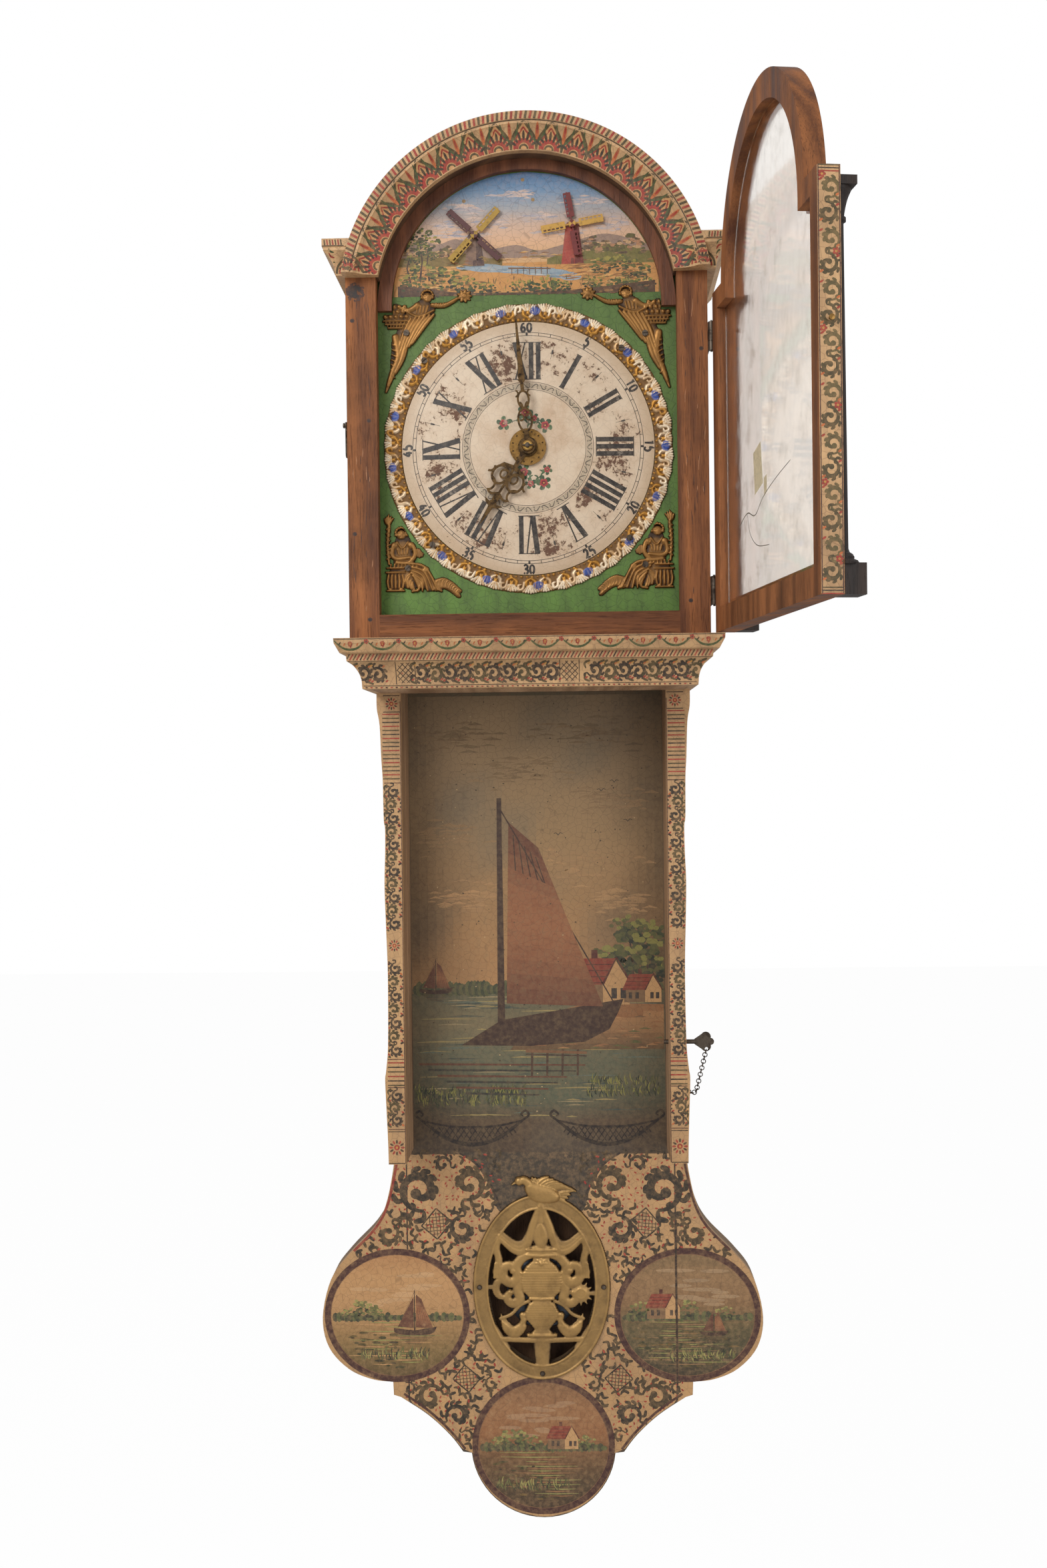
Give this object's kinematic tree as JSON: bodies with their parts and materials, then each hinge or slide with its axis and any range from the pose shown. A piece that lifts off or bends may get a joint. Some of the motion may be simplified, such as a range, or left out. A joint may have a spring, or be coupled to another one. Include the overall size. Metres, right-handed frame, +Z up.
{
  "type": "frisian tail clock",
  "caption": "Weight-driven wall clock with a painted arched hood, open glazed door, domed painted dial and a long lobed tail with an oval pendulum window.",
  "frame": {"origin": "centre of the hanging hole on the wall plane, at the top of the backboard", "axes": "+Z up, +Y into the wall along the hanging hole, so the dial faces -Y and +X is to its right"},
  "size_m": [0.4332, 0.4705, 1.233],
  "materials": {
    "bare_oak": "aged bare wood",
    "brown_wood": "brown stained wood",
    "painted_cream": "hand painted",
    "painted_panel": "hand painted, aged varnish",
    "gilt_cast": "cast and gilded",
    "painted_dial": "hand painted iron",
    "enamel_disc": "painted, domed",
    "painted_sails": "painted sheet",
    "hand_brass": "tarnished",
    "aged_brass": "aged",
    "dark_iron": "dark iron",
    "ebonised_wood": "ebonised",
    "old_glass": "old window glass",
    "lead_bob": "dark metal"
  },
  "bodies": {
    "case": {"backboard": "bare_oak", "tail_board": "painted_panel", "tail_wings": "painted_cream", "tail_rim": "bare_oak", "tail_sides": "bare_oak", "tail_stiles": "painted_cream", "cornice": "painted_cream", "soffit": "bare_oak", "seat_board": "bare_oak", "window_casting": "gilt_cast", "window_nails": "dark_iron", "pendulum_stud": "dark_iron", "chain": "aged_brass", "chain_staple": "dark_iron", "dial_plate": "painted_dial", "dial_disc": "enamel_disc", "garland": "gilt_cast", "spandrels": "gilt_cast", "dial_screws": "dark_iron", "centre_arbor": "dark_iron", "plates": "aged_brass", "pillars": "aged_brass", "bars": "dark_iron", "bell": "aged_brass", "bell_stand": "dark_iron"},
    "hood": {"hood_sides": "bare_oak", "hood_roof": "bare_oak", "hood_stiles": "brown_wood", "hood_rail": "brown_wood", "arch_board": "bare_oak", "arch_moulding": "painted_cream", "arch_mask": "brown_wood", "hood_hinges": "aged_brass", "hook_screw": "aged_brass"},
    "door": {"door_frame": "brown_wood", "door_glass": "old_glass", "colonettes": "ebonised_wood", "door_hinges": "aged_brass", "door_stud": "aged_brass"},
    "hook": {"side_hook": "aged_brass"},
    "pin": {"lock_pin": "aged_brass"},
    "mill_left_body": {"mill_left": "painted_sails"},
    "mill_right_body": {"mill_right": "painted_sails"},
    "alarm": {"alarm_disc": "aged_brass"},
    "hour": {"hour_hand": "hand_brass", "hour_wheel": "aged_brass"},
    "minute": {"minute_hand": "hand_brass", "hand_collet": "aged_brass", "cannon_wheel": "aged_brass"},
    "drive": {"drive_wheel": "aged_brass"},
    "motion_stud": {"stud_wheel": "aged_brass"},
    "great": {"great_wheel": "aged_brass"},
    "second": {"second_wheel": "aged_brass"},
    "escape": {"escape_wheel": "aged_brass"},
    "pallets": {"anchor": "dark_iron"},
    "strike": {"strike_wheel": "aged_brass"},
    "strike_pins": {"pin_wheel": "aged_brass"},
    "hammer_body": {"hammer": "dark_iron"},
    "pendulum": {"pendulum_rod": "dark_iron", "bob": "lead_bob"}
  },
  "joints": [
    {"name": "hood_slide", "type": "slide", "parent": "case", "child": "hood", "axis": [0, -1, 0], "range_m": [0, 0.2]},
    {"name": "door_hinge", "type": "hinge", "parent": "hood", "child": "door", "pos_m": [0.1545, -0.16515, -0.246], "axis": [0, 0, 1], "range_deg": [-98.5, 21.5]},
    {"name": "hook_pivot", "type": "hinge", "parent": "hood", "child": "hook", "pos_m": [-0.153, -0.156, -0.207], "axis": [-1, 0, 0], "range_deg": [-20, 100]},
    {"name": "pin_slide", "type": "slide", "parent": "case", "child": "pin", "axis": [1, 0, 0], "range_m": [0, 0.028], "deforming": ["chain"]},
    {"name": "pendulum_swing", "type": "hinge", "parent": "case", "child": "pendulum", "pos_m": [0, -0.016, -0.211], "axis": [0, 1, 0], "range_deg": [-2.5, 2.5]},
    {"name": "pallet_rock", "type": "hinge", "parent": "case", "child": "pallets", "pos_m": [0, -0.06, -0.211], "axis": [0, 1, 0], "range_deg": [-2.5, 2.5]},
    {"name": "second_turn", "type": "hinge", "parent": "case", "child": "second", "pos_m": [0, -0.1, -0.274], "axis": [0, 1, 0], "continuous": true},
    {"name": "great_turn", "type": "hinge", "parent": "case", "child": "great", "pos_m": [0, -0.095, -0.318], "axis": [0, 1, 0], "continuous": true},
    {"name": "escape_turn", "type": "hinge", "parent": "case", "child": "escape", "pos_m": [0, -0.11, -0.2398], "axis": [0, 1, 0], "continuous": true},
    {"name": "minute_turn", "type": "hinge", "parent": "case", "child": "minute", "pos_m": [0, -0.15, -0.2275], "axis": [0, 1, 0], "continuous": true},
    {"name": "drive_turn", "type": "hinge", "parent": "case", "child": "drive", "pos_m": [0, -0.131, -0.318], "axis": [0, 1, 0], "continuous": true},
    {"name": "motion_turn", "type": "hinge", "parent": "case", "child": "motion_stud", "pos_m": [0.032, -0.135, -0.2275], "axis": [0, 1, 0], "continuous": true},
    {"name": "hour_turn", "type": "hinge", "parent": "case", "child": "hour", "pos_m": [0, -0.145, -0.2275], "axis": [0, 1, 0], "continuous": true},
    {"name": "alarm_turn", "type": "hinge", "parent": "hour", "child": "alarm", "pos_m": [0, -0.154, -0.2275], "axis": [0, 1, 0], "continuous": true},
    {"name": "mill_left_turn", "type": "hinge", "parent": "case", "child": "mill_left_body", "pos_m": [-0.0435, -0.148, -0.0465], "axis": [0, 1, 0], "continuous": true},
    {"name": "mill_right_turn", "type": "hinge", "parent": "case", "child": "mill_right_body", "pos_m": [0.0395, -0.148, -0.039], "axis": [0, 1, 0], "continuous": true},
    {"name": "strike_turn", "type": "hinge", "parent": "case", "child": "strike", "pos_m": [0, -0.056, -0.318], "axis": [0, 1, 0], "continuous": true},
    {"name": "pin_wheel_turn", "type": "hinge", "parent": "case", "child": "strike_pins", "pos_m": [0, -0.06, -0.274], "axis": [0, 1, 0], "continuous": true},
    {"name": "hammer_swing", "type": "hinge", "parent": "case", "child": "hammer_body", "pos_m": [-0.04, -0.06, -0.211], "axis": [0, 1, 0], "range_deg": [-7, 0], "stiffness_Nm_per_rad": 0.05, "springref_deg": 2.86}
  ],
  "couplings": [
    {"joint": "pallet_rock", "follows": "pendulum_swing", "ratio": 1},
    {"joint": "great_turn", "follows": "second_turn", "ratio": -0.1},
    {"joint": "escape_turn", "follows": "second_turn", "ratio": -8.5},
    {"joint": "drive_turn", "follows": "minute_turn", "ratio": -1},
    {"joint": "motion_turn", "follows": "minute_turn", "ratio": -0.33333},
    {"joint": "hour_turn", "follows": "minute_turn", "ratio": 0.083333},
    {"joint": "pin_wheel_turn", "follows": "strike_turn", "ratio": -10}
  ]
}
